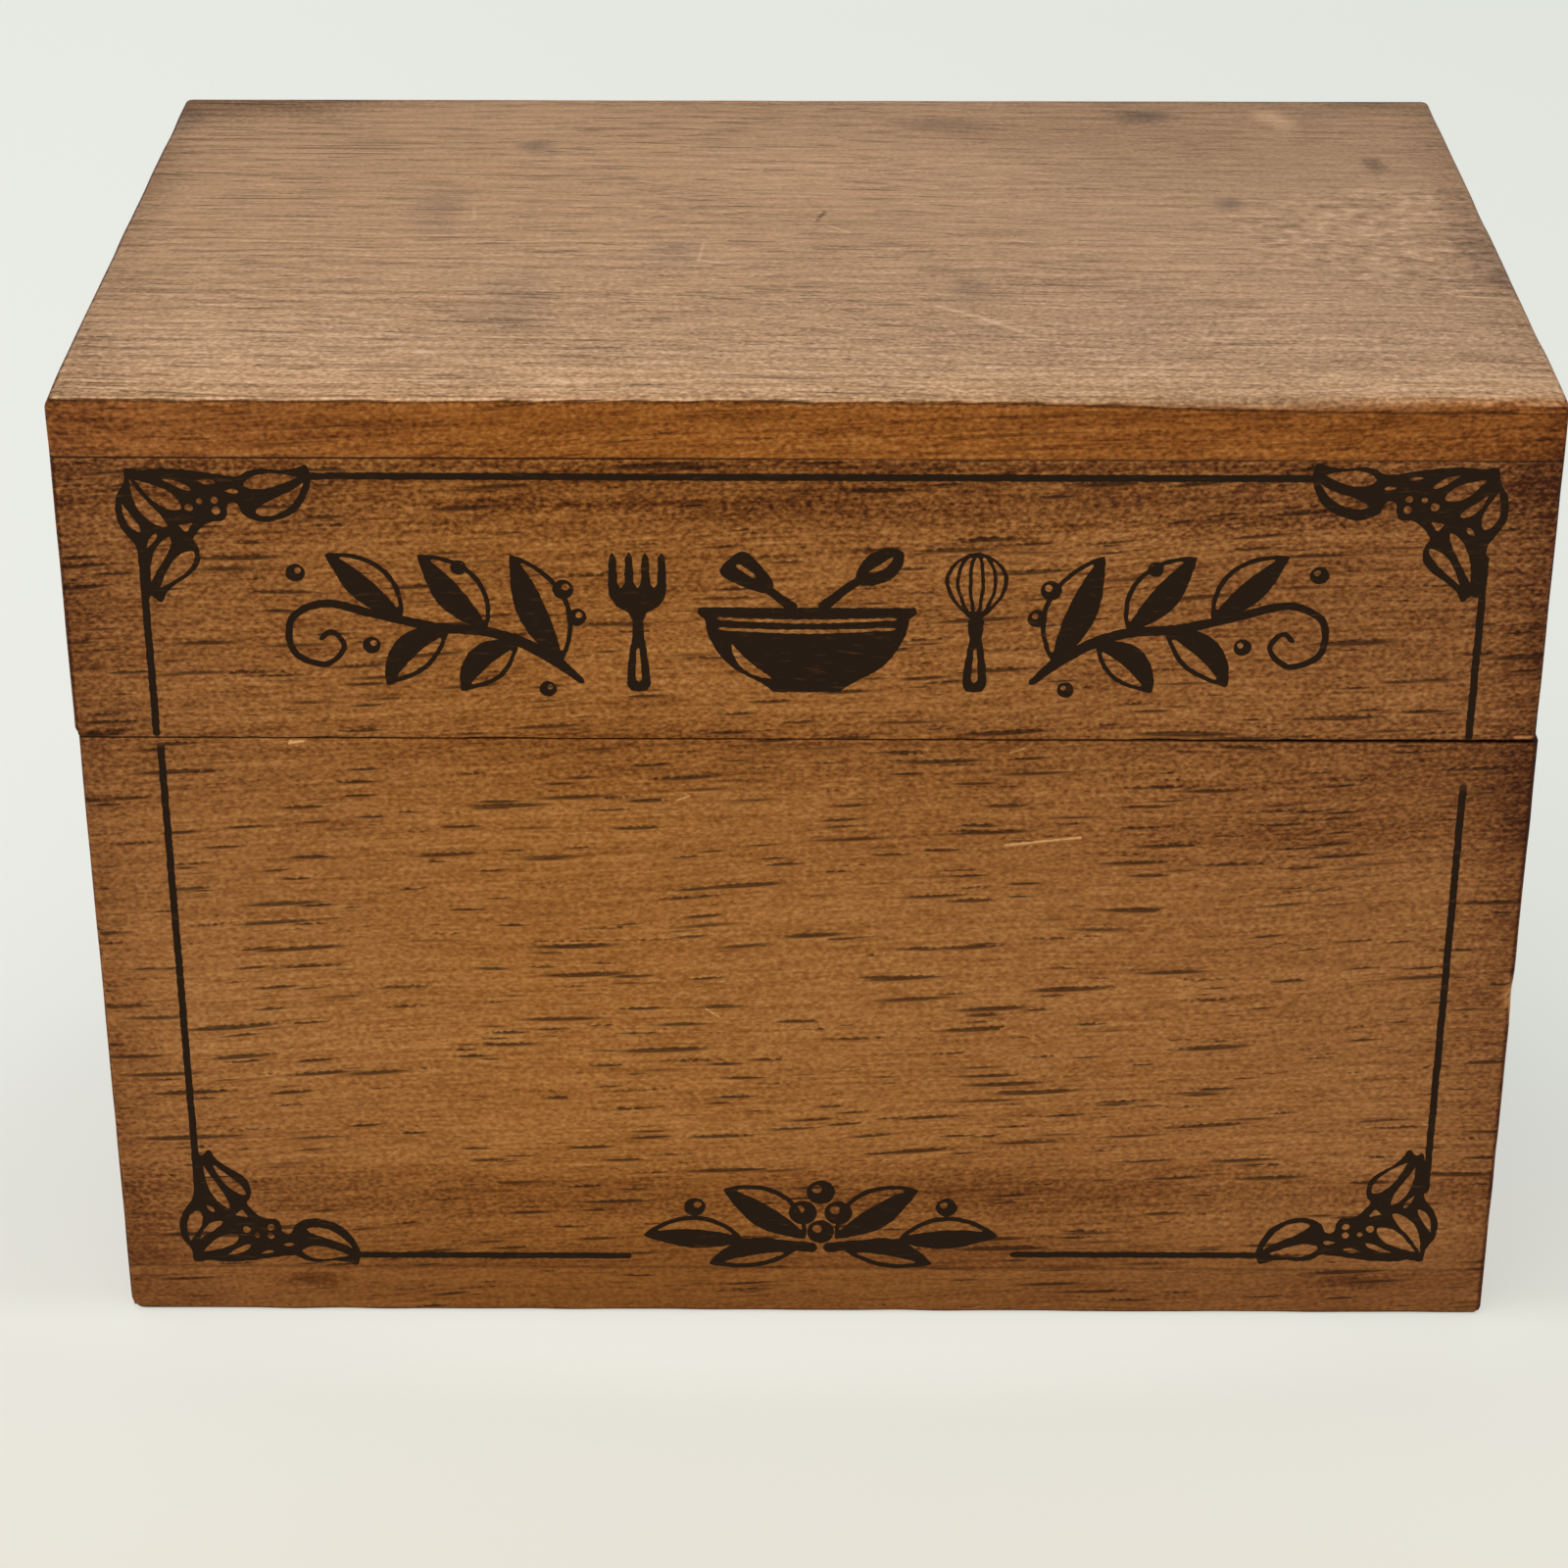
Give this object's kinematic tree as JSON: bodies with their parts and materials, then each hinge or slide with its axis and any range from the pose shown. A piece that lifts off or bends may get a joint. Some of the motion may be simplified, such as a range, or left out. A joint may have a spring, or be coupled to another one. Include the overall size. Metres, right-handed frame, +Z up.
{
  "type": "recipe card box",
  "caption": "Small stained wooden box with a hinged lid that holds recipe cards on edge; printed border lines with leafy corners on its front.",
  "frame": {"origin": "centre of the underside of the bottom board, on the surface that the box stands on", "axes": "+X to the right as seen from the front, +Y from the front to the back, +Z up; the front faces -Y"},
  "size_m": [0.1464, 0.095, 0.1058],
  "materials": {
    "stained_wood": "satin brown stain, shaded darker at the edges",
    "faded_wood": "the same stain, faded to a dull pinkish tan",
    "hinge_brass": "stamped brass, slightly dulled",
    "hinge_steel": "drawn wire",
    "printed_ink": "flat brown-black printing ink"
  },
  "bodies": {
    "base": {"base_front_board": "stained_wood", "base_back_board": "stained_wood", "base_left_board": "stained_wood", "base_right_board": "stained_wood", "bottom_board": "stained_wood", "left_hinge_base_leaf": "hinge_brass", "left_hinge_pin": "hinge_steel", "left_hinge_base_screws": "hinge_brass", "right_hinge_base_leaf": "hinge_brass", "right_hinge_pin": "hinge_steel", "right_hinge_base_screws": "hinge_brass"},
    "lid": {"lid_front_board": "stained_wood", "lid_back_board": "stained_wood", "lid_left_board": "stained_wood", "lid_right_board": "stained_wood", "top_board": "faded_wood", "left_hinge_lid_leaf": "hinge_brass", "left_hinge_lid_screws": "hinge_brass", "right_hinge_lid_leaf": "hinge_brass", "right_hinge_lid_screws": "hinge_brass"}
  },
  "joints": [
    {"name": "lid_hinge", "type": "hinge", "parent": "base", "child": "lid", "pos_m": [0, 0.0459, 0.0694], "axis": [-1, 0, 0], "range_deg": [0, 105]}
  ]
}
